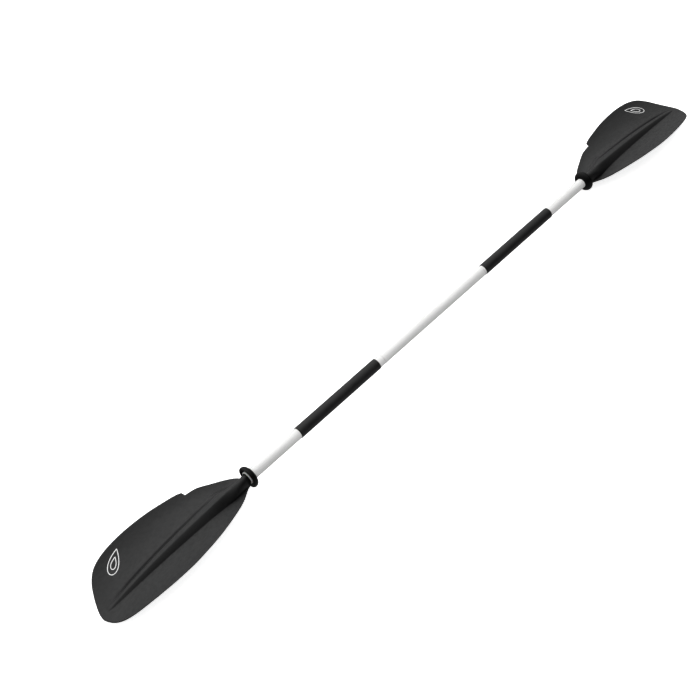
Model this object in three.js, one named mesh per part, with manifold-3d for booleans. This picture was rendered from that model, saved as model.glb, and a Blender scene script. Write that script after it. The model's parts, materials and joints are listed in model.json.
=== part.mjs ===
// A take-apart kayak paddle: two spooned blades, three tubes, drip rings, grip sleeves and snap buttons.
//
// Millimetres, +Z up. It is designed with the shaft along X, blade B towards +X, the blades' faces level,
// their backs up and their notched edges towards +Y. Then it is rolled to the way it lies on a floor.
import * as THREE from 'three';
import { mergeVertices } from 'three/addons/utils/BufferGeometryUtils.js';
import Module from 'manifold-3d';

const wasm = await Module();
wasm.setup();

// Driving dimensions -------------------------------------------------------------------------------------

const SHAFT_HALF = 637.5; // middle of the shaft to the drip rings, where both blades begin
const SEAM_A = -186; // shaft tube A meets the centre tube
const SEAM_B = 198; // the centre tube meets shaft tube B
const SEAM_GAP = 0.4;
const GRIP_FROM = 204; // the grip sleeves' inner ends
const GRIP_TO = 478; // the grip sleeves' outer ends
const BLADE_LENGTH = 449.5; // drip ring to tip
const LYING_ROLL = THREE.MathUtils.degToRad(14.8); // the notched edges drop by this when the paddle lies

const TUBE_R = 13.9;
const TUBE_WALL = 1.1;
const FIT = 0.1; // radial clearance of a spigot or a plug in its tube
const SLIDING_FIT = 0.15; // radial clearance of a ring, collar or sleeve on a tube
const GAP = 0.3; // clearance round a pin or a button
const BORE_R = TUBE_R - TUBE_WALL;
const SPIGOT_R = BORE_R - FIT;
const SPIGOT_WALL = 1.3;
const SPIGOT_FIXED = 55; // the length pinned in its own tube
const SPIGOT_FREE = 85; // the length that plugs into the next tube
const SLEEVE_R = 14.85;
const NECK_R = 13.4;
const PLUG_LENGTH = 72; // the blade neck's reach into the shaft
const PLUG_LEAD_IN = 1.5; // length of the taper at the neck's end
const PLUG_TAPER = 1; // how much the neck's radius shrinks there
const PLUG_BORE_R = 10.9;

const BUTTON_R = 3;
const BUTTON_STANDS_OUT = 2.2;
const BUTTON_FROM_MOUTH = 9; // a button's place along its tube, from the tube's mouth
const BLADE_BUTTON_FROM_RING = 24;
const LEAF_WIDTH = 7;
const LEAF_THICK = 0.6;

const ROUND = 40; // facets round the shaft
const INNER_ROUND = 24; // facets round the hidden pieces

// Materials ----------------------------------------------------------------------------------------------

const COLOURS = {
  white_paint: { color: 0xf2f2f0, roughness: 0.35, metalness: 0.0 },
  white_plastic: { color: 0xeeeeec, roughness: 0.4, metalness: 0.0 },
  grip: { color: 0x1d1d1e, roughness: 0.6, metalness: 0.0 },
  ring_rubber: { color: 0x161617, roughness: 0.5, metalness: 0.0 },
  blade_plastic: { color: 0x2e2f30, roughness: 0.55, metalness: 0.0 },
  aluminium: { color: 0xb9bcc0, roughness: 0.35, metalness: 0.9 },
  spring_steel: { color: 0xa5a8ad, roughness: 0.3, metalness: 0.95 },
  seal_rubber: { color: 0x202021, roughness: 0.7, metalness: 0.0 },
  foam: { color: 0xdcdcd8, roughness: 0.95, metalness: 0.0 },
  grey_plastic: { color: 0x6f7276, roughness: 0.6, metalness: 0.0 },
};

const paddle = new THREE.Group();

function addPiece(name, geometry, colours) {
  const mesh = new THREE.Mesh(geometry, new THREE.MeshStandardMaterial(COLOURS[colours]));
  mesh.name = name;
  paddle.add(mesh);
}

// Solids -------------------------------------------------------------------------------------------------

// A geometry with shared vertices and its faces pointing out, whichever way round it was drawn.
function closed(geometry) {
  const bare = geometry.clone();
  bare.deleteAttribute('normal');
  bare.deleteAttribute('uv');
  const merged = mergeVertices(bare, 1e-4);
  const places = merged.attributes.position;
  const corner = (n) => new THREE.Vector3().fromBufferAttribute(places, n);
  const faces = [];
  let volume = 0;
  for (let n = 0; n < merged.index.count; n += 3) {
    const [a, b, c] = [0, 1, 2].map((k) => merged.index.getX(n + k));
    if (a === b || b === c || c === a) continue;
    faces.push([a, b, c]);
    volume += corner(a).dot(corner(b).cross(corner(c)));
  }
  merged.setIndex(faces.flatMap(([a, b, c]) => (volume > 0 ? [a, b, c] : [a, c, b])));
  return merged;
}

function toSolid(geometry) {
  const shape = closed(geometry);
  return new wasm.Manifold(
    new wasm.Mesh({
      numProp: 3,
      vertProperties: new Float32Array(shape.attributes.position.array),
      triVerts: new Uint32Array(shape.index.array),
    }),
  );
}

function fromSolid(solid) {
  const mesh = solid.getMesh();
  const geometry = new THREE.BufferGeometry();
  geometry.setAttribute('position', new THREE.BufferAttribute(new Float32Array(mesh.vertProperties), 3));
  geometry.setIndex([...mesh.triVerts]);
  return geometry;
}

function cut(geometry, ...tools) {
  return fromSolid(tools.reduce((rest, tool) => rest.subtract(toSolid(tool)), toSolid(geometry)));
}

function join(geometry, ...others) {
  return fromSolid(others.reduce((whole, other) => whole.add(toSolid(other)), toSolid(geometry)));
}

// A turned solid about the X axis. The profile's points are [x, radius].
function turned(profile, segments = ROUND) {
  const points = profile.map(([x, radius]) => new THREE.Vector2(radius, x));
  return closed(new THREE.LatheGeometry(points, segments).rotateZ(-Math.PI / 2));
}

function pipe(fromX, toX, outerR, innerR, segments = ROUND) {
  return turned(
    [[fromX, innerR], [fromX, outerR], [toX, outerR], [toX, innerR], [fromX, innerR]],
    segments,
  );
}

function rod(fromX, toX, radius, segments = INNER_ROUND, chamfer = 0.5) {
  return turned(
    [
      [fromX, 0],
      [fromX, radius - chamfer],
      [fromX + chamfer, radius],
      [toX - chamfer, radius],
      [toX, radius - chamfer],
      [toX, 0],
    ],
    segments,
  );
}

// A drill through the lower wall at x. turn swings it round the shaft, towards +Y.
function drillBelow(x, radius, turn = 0) {
  const depth = 10;
  const drill = new THREE.CylinderGeometry(radius, radius, depth, 20).rotateX(Math.PI / 2);
  return drill.translate(0, 0, -TUBE_R).rotateX(turn).translate(x, 0, 0);
}

// The other end's copy of a piece.
function mirrored(geometry) {
  return closed(geometry.clone().scale(-1, 1, 1));
}

// The blade ----------------------------------------------------------------------------------------------

// Outlines as [distance from the drip ring, distance from the shaft's axis].
const NOTCH_SIDE_ROOT = [
  [10.3, 15], [12, 26], [16, 34], [22, 40], [32, 47], [50, 57], [78, 68.5], [92, 73.5], [101, 75.8],
  [112, 76.8], [130.5, 77.6],
];
const NOTCH_SIDE_WING = [
  [133, 86.8], [142, 89.8], [166, 94.7], [223, 103.6], [287, 108.3], [335, 107.6], [370, 102.8], [395, 93.2],
  [415, 75.3], [428, 55.5], [440, 32], [446.5, 15], [449.5, -4],
];
const PLAIN_SIDE = [
  [10.3, -13.4], [14, -14.5], [20, -16.5], [28, -21], [50, -35.5], [78, -49.5], [127, -68.7], [166, -79.3],
  [223, -88.2], [255, -89.6], [300, -86.3], [370, -73.2], [402, -63.9], [421, -54.1], [434, -42.1],
  [442, -29.5], [447.5, -14], [449.5, -4],
];
const NOTCH_START = 130.5;
const NOTCH_DEPTH = 77.6; // the notch's inner corner, from the shaft's axis
const NOTCH_END = 133;
const NECK_START = 7.3; // the shoulder that meets the shaft's mouth
const SHOULDER_EDGE = 0.2; // the small bevels of that shoulder
const NECK_END = 10; // where the round neck opens out into the blade
const SPINE_END = 430; // where the spine runs out
const SPINE_FALL = 0.65; // power of the crest's fall towards the tip
const FLANK_WIDTH = 19.5; // width of the steep flank, a little way out from the neck
const FLANK_SPAN = [10, 60]; // it widens to that over this length
const FLANK_FALL = 0.5; // power of its narrowing towards the tip
const FLANK_POWER = 1.2; // 1 makes the steep flank flat in section, and 2 makes it round
const SHELF_WIDTH = 19; // the spine's flat top, towards the notched edge, at its root
const SHELF_NARROWING = 0.3; // power of its narrowing towards the tip
const SHELF_SPAN = [25, 95]; // the round neck turns into that flat top over this length
const SHELF_FALL = 1.5; // the flat top's fall from the crest to the crease at its edge
const MIN_FOOT = 0.3; // the spine's half-width where it has run out
const FOOT_SHARE = 0.93; // the spine never takes more than this share of a narrow blade

const WING_LEVEL = -4.4; // the wings' tops at the shaft's line, against its axis
const ROOT_DROP = 5; // how much lower the wings leave the neck
const ROOT_TWIST = 8.5; // and how much lower still the notched wing leaves it
const TWIST_REACH = 40; // the distance from the axis where that has come in fully
const ROOT_SPAN = [40, 150]; // both fade out over this length
const REACH_SPAN = [133, 220]; // past the notch, the fall from the crease spreads to the new edge
const SPOON_DROP = 26.6; // how far the tip curves down
const DIHEDRAL = 0.00235; // the wings rise by this times the square of the distance from the axis
const WING_THICK = 5; // at the shaft's line
const EDGE_THICK = 2.8; // from EDGE_FROM outwards
const EDGE_FROM = 60;
const EDGE_ROUND = 2.6; // width of the rounded rim
const KEEL_END = 120; // where the neck's underside has run out into the power face

const WING_STEPS = 5; // steps across each wing, on each face
const SPINE_STEPS = 5; // steps across each side of the spine
const ROOT_STEPS = 12; // sections from the neck to the notch
const TIP_STEPS = 18; // sections from the notch to the tip
const LAST_TO_GO = 0.5; // square root of the distance from the last section to the tip

// A smooth curve through the outline's points. Near the tip it bends like a circle, so it is followed by
// the square root of the distance that is left.
function outlineAt(points, along) {
  const toGo = (x) => Math.sqrt(Math.max(BLADE_LENGTH - x, 0));
  const at = points.map(([x]) => toGo(x));
  const y = points.map((point) => point[1]);
  const slopeAt = (n) => {
    const [before, after] = [Math.max(n - 1, 0), Math.min(n + 1, y.length - 1)];
    return (y[after] - y[before]) / (at[after] - at[before]);
  };
  const here = toGo(along);
  let k = 0;
  while (k < points.length - 2 && here < at[k + 1]) k += 1;
  const span = at[k + 1] - at[k];
  const t = (here - at[k]) / span;
  return (
    y[k] * (1 + 2 * t) * (1 - t) ** 2 +
    slopeAt(k) * span * t * (1 - t) ** 2 +
    y[k + 1] * t * t * (3 - 2 * t) +
    slopeAt(k + 1) * span * t * t * (t - 1)
  );
}

const { smoothstep, clamp, lerp } = THREE.MathUtils;

// The height of a half round at a share of its half-width.
function halfRound(share) {
  return Math.sqrt(Math.max(1 - share * share, 0));
}

// The heights of the bare wing at one section: its back, its thickness and how far its rim has filled out.
function wingAt(along, notchEdge, plainEdge) {
  const reach = clamp((along - NECK_END) / (BLADE_LENGTH - NECK_END), 0, 1);
  const spoon = WING_LEVEL - SPOON_DROP * reach ** 3;
  const drop = (y) => ROOT_DROP + ROOT_TWIST * smoothstep(y, 0, TWIST_REACH);
  const root = 1 - smoothstep(along, ...ROOT_SPAN);
  return {
    spoon,
    back: (y) => spoon + DIHEDRAL * y * y - drop(y) * root,
    thick: (y) => lerp(WING_THICK, EDGE_THICK, Math.min(Math.abs(y) / EDGE_FROM, 1)),
    rim: (y) => halfRound(1 - clamp(Math.min(notchEdge - y, y - plainEdge) / EDGE_ROUND, 0, 1)),
  };
}

// The spine at one section: its crest and its feet. Its plain side is a steep flank. Its notched side
// is round at the neck and further out a nearly flat shelf, which ends at a crease.
function spineAt(along, notchEdge, plainEdge, wing) {
  const left = 1 - clamp((along - NECK_END) / (SPINE_END - NECK_END), 0, 1);
  const shelf = smoothstep(along, ...SHELF_SPAN);
  const crest = wing.spoon + (NECK_R - WING_LEVEL) * left ** SPINE_FALL;
  const widest = lerp(NECK_R, FLANK_WIDTH, smoothstep(along, ...FLANK_SPAN));
  const flank = widest * left ** FLANK_FALL + MIN_FOOT;
  const shelfEdge = lerp(NECK_R, SHELF_WIDTH * left ** SHELF_NARROWING + MIN_FOOT, shelf);
  const plainFoot = Math.min(flank, -FOOT_SHARE * plainEdge);
  const notchFoot = Math.min(shelfEdge, FOOT_SHARE * notchEdge);
  const crease = crest - SHELF_FALL * Math.min(4 * left, 1);
  const lift = (crease - wing.back(notchFoot)) * shelf;
  const reach = lerp(Math.min(notchEdge, NOTCH_DEPTH), notchEdge, smoothstep(along, ...REACH_SPAN));
  return { crest, plainFoot, notchFoot, shelf, lift, reach };
}

// The blade's back with its spine. Past the crease the notched wing eases down to its own level.
function backAt(y, wing, spine) {
  const { crest, plainFoot, notchFoot, shelf, lift, reach } = spine;
  if (y <= -plainFoot) return wing.back(y);
  if (y < 0) {
    const steep = 1 - (-y / plainFoot) ** FLANK_POWER;
    return lerp(wing.back(-plainFoot), crest, lerp(halfRound(y / plainFoot), steep, shelf));
  }
  if (y < notchFoot) {
    const fall = lerp(halfRound(y / notchFoot), 1 - (y / notchFoot) ** 2, shelf);
    return lerp(wing.back(notchFoot) + lift, crest, fall);
  }
  const past = clamp((y - notchFoot) / (reach - notchFoot), 0, 1);
  return wing.back(y) + lift * (1 - past) ** 2;
}

// One section of the blade as a ring of [y, z] points: over the back from the plain edge to the notched
// edge, then back along the power face.
function bladeSection(along, notchEdge, plainEdge) {
  const wing = wingAt(along, notchEdge, plainEdge);
  const spine = spineAt(along, notchEdge, plainEdge, wing);
  const keelHalf = Math.min(NECK_R, FOOT_SHARE * notchEdge, -FOOT_SHARE * plainEdge);
  const keelLeft = 1 - clamp((along - NECK_END) / (KEEL_END - NECK_END), 0, 1);
  const keel = (NECK_R + wing.back(0) - WING_THICK) * keelLeft ** 2;

  const middle = (y) => wing.back(y) - wing.thick(y) / 2;
  const face = (y) => wing.back(y) - wing.thick(y) - keel * halfRound(y / keelHalf);
  const top = (y) => lerp(middle(y), backAt(y, wing, spine), wing.rim(y));
  const bottom = (y) => lerp(middle(y), face(y), wing.rim(y));

  const { plainFoot, notchFoot } = spine;
  const across = [];
  for (let n = 0; n <= WING_STEPS; n += 1) {
    across.push(lerp(plainEdge, -plainFoot, (n / WING_STEPS) ** 2));
  }
  for (let n = 1; n <= SPINE_STEPS; n += 1) {
    across.push(-plainFoot * Math.cos((n / SPINE_STEPS) * (Math.PI / 2)));
  }
  for (let n = 1; n < SPINE_STEPS; n += 1) {
    across.push(notchFoot * Math.sin((n / SPINE_STEPS) * (Math.PI / 2)));
  }
  for (let n = WING_STEPS; n >= 0; n -= 1) {
    across.push(lerp(notchEdge, notchFoot, (n / WING_STEPS) ** 2));
  }
  const over = across.map((y) => [y, top(y)]);
  const under = across.slice(1, -1).reverse().map((y) => [y, bottom(y)]);
  return [...over, ...under];
}

// A round section of the neck, with its points shared out like bladeSection's.
function neckSection(radius) {
  const steps = 2 * (WING_STEPS + SPINE_STEPS);
  const ring = [];
  for (let n = 0; n < 2 * steps; n += 1) {
    const angle = Math.PI * (1 - n / steps);
    ring.push([radius * Math.cos(angle), radius * Math.sin(angle)]);
  }
  return ring;
}

function bladeSections() {
  const sections = [
    [-PLUG_LENGTH, neckSection(SPIGOT_R - PLUG_TAPER)],
    [-PLUG_LENGTH + PLUG_LEAD_IN, neckSection(SPIGOT_R)],
    [NECK_START - SHOULDER_EDGE, neckSection(SPIGOT_R)],
    [NECK_START, neckSection(NECK_R - SHOULDER_EDGE)],
  ];
  for (let n = 0; n <= ROOT_STEPS; n += 1) {
    const along = lerp(NECK_END + 1, NOTCH_START, (n / ROOT_STEPS) ** 1.5);
    sections.push([
      along,
      bladeSection(along, outlineAt(NOTCH_SIDE_ROOT, along), outlineAt(PLAIN_SIDE, along)),
    ]);
  }
  for (let n = 0; n <= TIP_STEPS; n += 1) {
    const toGo = lerp(Math.sqrt(BLADE_LENGTH - NOTCH_END), LAST_TO_GO, n / TIP_STEPS);
    const along = BLADE_LENGTH - toGo ** 2;
    sections.push([
      along,
      bladeSection(along, outlineAt(NOTCH_SIDE_WING, along), outlineAt(PLAIN_SIDE, along)),
    ]);
  }
  return sections;
}

// The skin over a row of sections, with both ends closed.
function lofted(sections) {
  const count = sections[0][1].length;
  const places = sections.flatMap(([x, ring]) => ring.flatMap(([y, z]) => [x, y, z]));
  const index = [];
  for (let row = 0; row < sections.length - 1; row += 1) {
    for (let n = 0; n < count; n += 1) {
      const next = (n + 1) % count;
      const [a, b] = [row * count + n, row * count + next];
      index.push(a, b, b + count, a, b + count, a + count);
    }
  }
  for (const row of [0, sections.length - 1]) {
    const [x, ring] = sections[row];
    const centre = places.length / 3;
    const middle = (k) => ring.reduce((sum, point) => sum + point[k], 0) / count;
    places.push(x, middle(0), middle(1));
    for (let n = 0; n < count; n += 1) {
      const [a, b] = [row * count + n, row * count + ((n + 1) % count)];
      index.push(centre, ...(row === 0 ? [b, a] : [a, b]));
    }
  }
  const geometry = new THREE.BufferGeometry();
  geometry.setAttribute('position', new THREE.Float32BufferAttribute(places, 3));
  geometry.setIndex(index);
  return closed(geometry);
}

const SEAL_AT = -7;
const SEAL_R = 1.2; // radius of the seal's section
const NECK_BORE_END = -13; // the hollow of the neck, where the snap clip sits, stops short of the seal

// The blade as moulded, measured from its drip ring: a hollow neck with a button hole and a seal groove.
function bladeShape() {
  const bore = rod(-PLUG_LENGTH - 10, NECK_BORE_END, PLUG_BORE_R, INNER_ROUND, 3);
  const groove = pipe(SEAL_AT - SEAL_R - GAP, SEAL_AT + SEAL_R + GAP, TUBE_R, BORE_R - 2 * SEAL_R - GAP);
  return cut(lofted(bladeSections()), bore, groove, drillBelow(-BLADE_BUTTON_FROM_RING, BUTTON_R + GAP));
}

function sealShape() {
  const middle = BORE_R - FIT / 2 - SEAL_R;
  const sides = 8;
  const profile = [];
  for (let n = 0; n <= sides; n += 1) {
    const angle = (n / sides) * 2 * Math.PI;
    profile.push([SEAL_AT + SEAL_R * Math.cos(angle), middle + SEAL_R * Math.sin(angle)]);
  }
  return turned(profile, INNER_ROUND);
}

// The drip ring and the collar at a shaft end, measured from the ring's middle, outwards --------------------

const SHAFT_END = SHAFT_HALF + 5; // the tubes run a little past the drip rings, into the neck collars

function dripRingShape() {
  const boreR = TUBE_R + SLIDING_FIT;
  const outline = new THREE.CatmullRomCurve3(
    [
      [-9.6, 15.2], [-8.8, 18.2], [-7.2, 21.6], [-4.8, 25], [-1.9, 27.3], [1.2, 28.1], [4.5, 27.9],
      [6.8, 26.4], [6.4, 24.2], [4.6, 22.2], [2.6, 19.6], [1.2, 17],
    ].map(([x, radius]) => new THREE.Vector3(x, radius, 0)),
  );
  const skin = outline.getPoints(14).map((point) => [point.x, point.y]);
  return turned([[-9.6, boreR], ...skin, [0.9, boreR], [-9.6, boreR]]);
}

function neckCollarShape() {
  const outerR = 16.2;
  const lipR = BORE_R + FIT;
  const tubeEnd = SHAFT_END - SHAFT_HALF;
  const collarStart = 1.5;
  const collarEnd = 6.8;
  return turned([
    [collarStart, TUBE_R + SLIDING_FIT],
    [collarStart, outerR],
    [collarEnd - 0.8, outerR],
    [collarEnd, outerR - 0.8],
    [collarEnd, lipR],
    [tubeEnd + GAP, lipR],
    [tubeEnd + GAP, TUBE_R + SLIDING_FIT],
    [collarStart, TUBE_R + SLIDING_FIT],
  ]);
}

// Shaft tubes ----------------------------------------------------------------------------------------------

const PIN_R = 1.5;
const PIN_STANDS_IN = 1; // the pin's inner end stands this far out of the spigot's bore
const PIN_INSET = 30; // a spigot's fixing pin, from its tube's end
const FEATHER_TURN = THREE.MathUtils.degToRad(60);

const BUTTON_A_X = SEAM_A - BUTTON_FROM_MOUTH;
const BUTTON_B_X = SEAM_B - BUTTON_FROM_MOUTH;
const BLADE_BUTTON_X = SHAFT_HALF - BLADE_BUTTON_FROM_RING;
const PIN_A_X = SEAM_A + PIN_INSET;
const PIN_B_X = SEAM_B + PIN_INSET;

function shaftTubeA() {
  return cut(
    pipe(-SHAFT_END, SEAM_A - SEAM_GAP / 2, TUBE_R, BORE_R),
    drillBelow(-BLADE_BUTTON_X, BUTTON_R + GAP),
    drillBelow(BUTTON_A_X, BUTTON_R + GAP),
    drillBelow(BUTTON_A_X, BUTTON_R + GAP, FEATHER_TURN),
  );
}

function centreTube() {
  return cut(
    pipe(SEAM_A + SEAM_GAP / 2, SEAM_B - SEAM_GAP / 2, TUBE_R, BORE_R),
    drillBelow(PIN_A_X, PIN_R + GAP / 3),
    drillBelow(BUTTON_B_X, BUTTON_R + GAP),
  );
}

function shaftTubeB() {
  return cut(
    pipe(SEAM_B + SEAM_GAP / 2, SHAFT_END, TUBE_R, BORE_R),
    drillBelow(PIN_B_X, PIN_R + GAP / 3),
    drillBelow(BLADE_BUTTON_X, BUTTON_R + GAP),
  );
}

// A spigot runs from its fixed end, inside its own tube, to its free end, towards -X.
function spigotShape(seam, buttonX, pinX) {
  return cut(
    pipe(seam - SPIGOT_FREE, seam + SPIGOT_FIXED, SPIGOT_R, SPIGOT_R - SPIGOT_WALL),
    drillBelow(buttonX, BUTTON_R + GAP),
    drillBelow(pinX, PIN_R + GAP / 3),
  );
}

function fixingPin(x) {
  const inside = SPIGOT_R - SPIGOT_WALL - PIN_STANDS_IN;
  const length = TUBE_R - inside;
  const pin = new THREE.CylinderGeometry(PIN_R, PIN_R, length, 20).rotateX(Math.PI / 2);
  return closed(pin.translate(x, 0, -inside - length / 2));
}

// A cap that closes a spigot's free end and guides it into the next tube.
function spigotPlug(seam) {
  const end = seam - SPIGOT_FREE;
  const stemR = SPIGOT_R - SPIGOT_WALL - FIT;
  const stemLength = 12;
  const rim = 2;
  const nose = 5;
  const taper = 2.5;
  return turned(
    [
      [end + stemLength, 0],
      [end + stemLength, stemR],
      [end - GAP, stemR],
      [end - GAP, SPIGOT_R],
      [end - rim, SPIGOT_R],
      [end - nose, SPIGOT_R - taper],
      [end - nose, 0],
    ],
    INNER_ROUND,
  );
}

function gripSleeve(fromX, toX) {
  const inner = TUBE_R + SLIDING_FIT;
  const bevel = 0.35;
  return turned([
    [fromX, inner],
    [fromX, SLEEVE_R - bevel],
    [fromX + bevel, SLEEVE_R],
    [toX - bevel, SLEEVE_R],
    [toX, SLEEVE_R - bevel],
    [toX, inner],
    [fromX, inner],
  ]);
}

// Snap clips: a sprung leaf with its button, and the V bend that pushes it out -----------------------------

const LEAF_TOP = 9.6; // the leaf lies this far below the axis, inside the wall
const LEAF_LENGTH = 26;
const LEAF_PAST_BUTTON = 0.5; // the leaf's short end, beyond the button
const LEAF_END = LEAF_LENGTH - BUTTON_R - LEAF_PAST_BUTTON; // its long end, from the button's middle
const BUTTON_TIP = TUBE_R + BUTTON_STANDS_OUT;

// The clip's button and leaf, for a button at x. The leaf runs inwards along way, which is 1 or -1.
function snapButton(x, way) {
  const dome = 0.8;
  const profile = [
    new THREE.Vector2(0, LEAF_TOP),
    new THREE.Vector2(BUTTON_R, LEAF_TOP),
    new THREE.Vector2(BUTTON_R, BUTTON_TIP - dome),
    new THREE.Vector2(BUTTON_R * 0.72, BUTTON_TIP - dome * 0.25),
    new THREE.Vector2(0, BUTTON_TIP),
  ];
  const button = new THREE.LatheGeometry(profile, 20).rotateX(-Math.PI / 2);
  const leaf = new THREE.BoxGeometry(LEAF_LENGTH, LEAF_WIDTH, LEAF_THICK);
  leaf.translate(LEAF_END - LEAF_LENGTH / 2, 0, -LEAF_TOP - LEAF_THICK / 2);
  leaf.scale(way, 1, 1);
  return closed(join(closed(button), closed(leaf)).translate(x, 0, 0));
}

// The V bend: from the leaf's end round to the far wall of the bore, and back under the button.
function snapSpring(x, way) {
  const bend = new THREE.CatmullRomCurve3(
    [
      [LEAF_END + GAP, -LEAF_TOP - LEAF_THICK / 2],
      [LEAF_END + 4, -8.2],
      [LEAF_END + 6.5, -3],
      [LEAF_END + 4, 4],
      [LEAF_END - 8, 8.2],
      [4, 9.4],
      [-2, 9.6],
    ].map(([along, up]) => new THREE.Vector3(x + way * along, 0, up)),
  );
  const [half, thin] = [LEAF_WIDTH / 2, LEAF_THICK / 2];
  const strip = new THREE.Shape([
    new THREE.Vector2(-half, -thin),
    new THREE.Vector2(half, -thin),
    new THREE.Vector2(half, thin),
    new THREE.Vector2(-half, thin),
  ]);
  return closed(new THREE.ExtrudeGeometry(strip, { steps: 16, extrudePath: bend }));
}

// Assembly -------------------------------------------------------------------------------------------------

const SHAPES_AT_END = {
  drip_ring: [dripRingShape(), 'ring_rubber'],
  neck_collar: [neckCollarShape(), 'white_plastic'],
  blade: [bladeShape(), 'blade_plastic'],
  neck_seal: [sealShape(), 'seal_rubber'],
  blade_button: [snapButton(-BLADE_BUTTON_FROM_RING, -1), 'spring_steel'],
  blade_spring: [snapSpring(-BLADE_BUTTON_FROM_RING, -1), 'spring_steel'],
};
for (const [name, [shape, colours]] of Object.entries(SHAPES_AT_END)) {
  const atB = shape.clone().translate(SHAFT_HALF, 0, 0);
  addPiece(`${name}_a`, mirrored(atB), colours);
  addPiece(`${name}_b`, atB, colours);
}

addPiece('shaft_tube_a', shaftTubeA(), 'white_paint');
addPiece('centre_tube', centreTube(), 'white_paint');
addPiece('shaft_tube_b', shaftTubeB(), 'white_paint');
addPiece('grip_sleeve_a', gripSleeve(-GRIP_TO, -GRIP_FROM), 'grip');
addPiece('grip_sleeve_b', gripSleeve(GRIP_FROM, GRIP_TO), 'grip');

const SPIGOTS = { a: [SEAM_A, BUTTON_A_X, PIN_A_X], b: [SEAM_B, BUTTON_B_X, PIN_B_X] };
for (const [end, [seam, buttonX, pinX]] of Object.entries(SPIGOTS)) {
  addPiece(`spigot_${end}`, spigotShape(seam, buttonX, pinX), 'aluminium');
  addPiece(`spigot_pin_${end}`, fixingPin(pinX), 'aluminium');
  addPiece(`spigot_plug_${end}`, spigotPlug(seam), 'grey_plastic');
  addPiece(`snap_button_${end}`, snapButton(buttonX, -1), 'spring_steel');
  addPiece(`snap_spring_${end}`, snapSpring(buttonX, -1), 'spring_steel');
}

// Foam rods fill the tubes between the spigots and the blade necks, so the shaft floats.
const FOAM_R = BORE_R - 0.4;
const FOAM_INSET = 8;
const plugEnd = SHAFT_HALF - PLUG_LENGTH - FOAM_INSET;
addPiece('float_foam_a', rod(-plugEnd, SEAM_A - SPIGOT_FREE - FOAM_INSET, FOAM_R), 'foam');
addPiece('float_foam_b', rod(SEAM_B + SPIGOT_FIXED + FOAM_INSET, plugEnd, FOAM_R), 'foam');
addPiece(
  'float_foam_centre',
  rod(SEAM_A + SPIGOT_FIXED + FOAM_INSET, SEAM_B - SPIGOT_FREE - FOAM_INSET, FOAM_R),
  'foam',
);

// The whole paddle is rolled to the way it lies, then stood on Z = 0 with its box centred on the origin.
paddle.rotation.x = -LYING_ROLL;
const lying = new THREE.Group();
lying.add(paddle);
lying.updateMatrixWorld(true);
const box = new THREE.Box3().setFromObject(lying, true);
const centre = box.getCenter(new THREE.Vector3());
lying.position.set(-centre.x, -centre.y, -box.min.z);

export default lying;
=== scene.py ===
"""Looks of a take-apart kayak paddle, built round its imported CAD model.

Shapes are drawn in millimetres in the paddle's own frame: X along the shaft, Y towards the notched edges,
Z towards the backs of the blades. place() rolls them to the way the paddle lies and puts them in metres.
"""

import json
import math

import bmesh
import bpy
from mathutils import Matrix, Vector


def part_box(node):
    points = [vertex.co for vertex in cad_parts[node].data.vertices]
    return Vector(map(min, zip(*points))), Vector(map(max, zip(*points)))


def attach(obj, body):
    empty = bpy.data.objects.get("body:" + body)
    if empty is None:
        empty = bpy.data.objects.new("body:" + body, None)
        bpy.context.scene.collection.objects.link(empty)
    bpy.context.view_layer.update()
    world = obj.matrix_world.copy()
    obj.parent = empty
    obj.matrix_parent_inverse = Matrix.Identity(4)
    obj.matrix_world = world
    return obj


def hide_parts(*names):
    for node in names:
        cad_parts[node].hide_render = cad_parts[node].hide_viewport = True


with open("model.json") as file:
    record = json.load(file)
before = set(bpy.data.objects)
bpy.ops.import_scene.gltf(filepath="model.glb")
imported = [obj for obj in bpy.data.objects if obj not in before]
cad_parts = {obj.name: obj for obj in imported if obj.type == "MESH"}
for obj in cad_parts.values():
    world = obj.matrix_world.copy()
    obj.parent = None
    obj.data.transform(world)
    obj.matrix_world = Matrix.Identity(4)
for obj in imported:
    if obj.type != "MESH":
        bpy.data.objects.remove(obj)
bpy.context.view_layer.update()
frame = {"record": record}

MM = 0.001
RECORD = frame["record"]
BODY_OF = {node: body for body, nodes in RECORD["behaviour"]["bodies"].items() for node in nodes}
ENDS = {"a": -1, "b": 1}

# Driving dimensions, in millimetres, as in the CAD model ------------------------------------------------

SHAFT_HALF = 637.5
SHAFT_END = 642.5
SEAM_A = -186
SEAM_B = 198
SEAM_GAP = 0.4
GRIP_FROM = 204
GRIP_TO = 478
BLADE_LENGTH = 449.5
LYING_ROLL = math.radians(14.8)

TUBE_R = 13.9
BORE_R = 12.8
SPIGOT_R = 12.7
SPIGOT_BORE_R = 11.4
SPIGOT_FIXED = 55
SPIGOT_FREE = 85
SLIDING_FIT = 0.15
TIGHT_FIT = 0.1
SLEEVE_R = 14.85
NECK_R = 13.4
PLUG_LENGTH = 72
PLUG_BORE_R = 10.9
PLUG_LEAD_IN = 1.5  # length of the taper at the neck's end
PLUG_TAPER = 1  # how much the neck's radius shrinks there
FOAM_R = 12.4
FOAM_INSET = 8
FOAM_EDGE = [(0, 1.5), (0.5, 0.5), (1.5, 0)]  # as [distance from the rod's end, drop below its radius]
FEATHER_TURN = math.radians(60)

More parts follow.
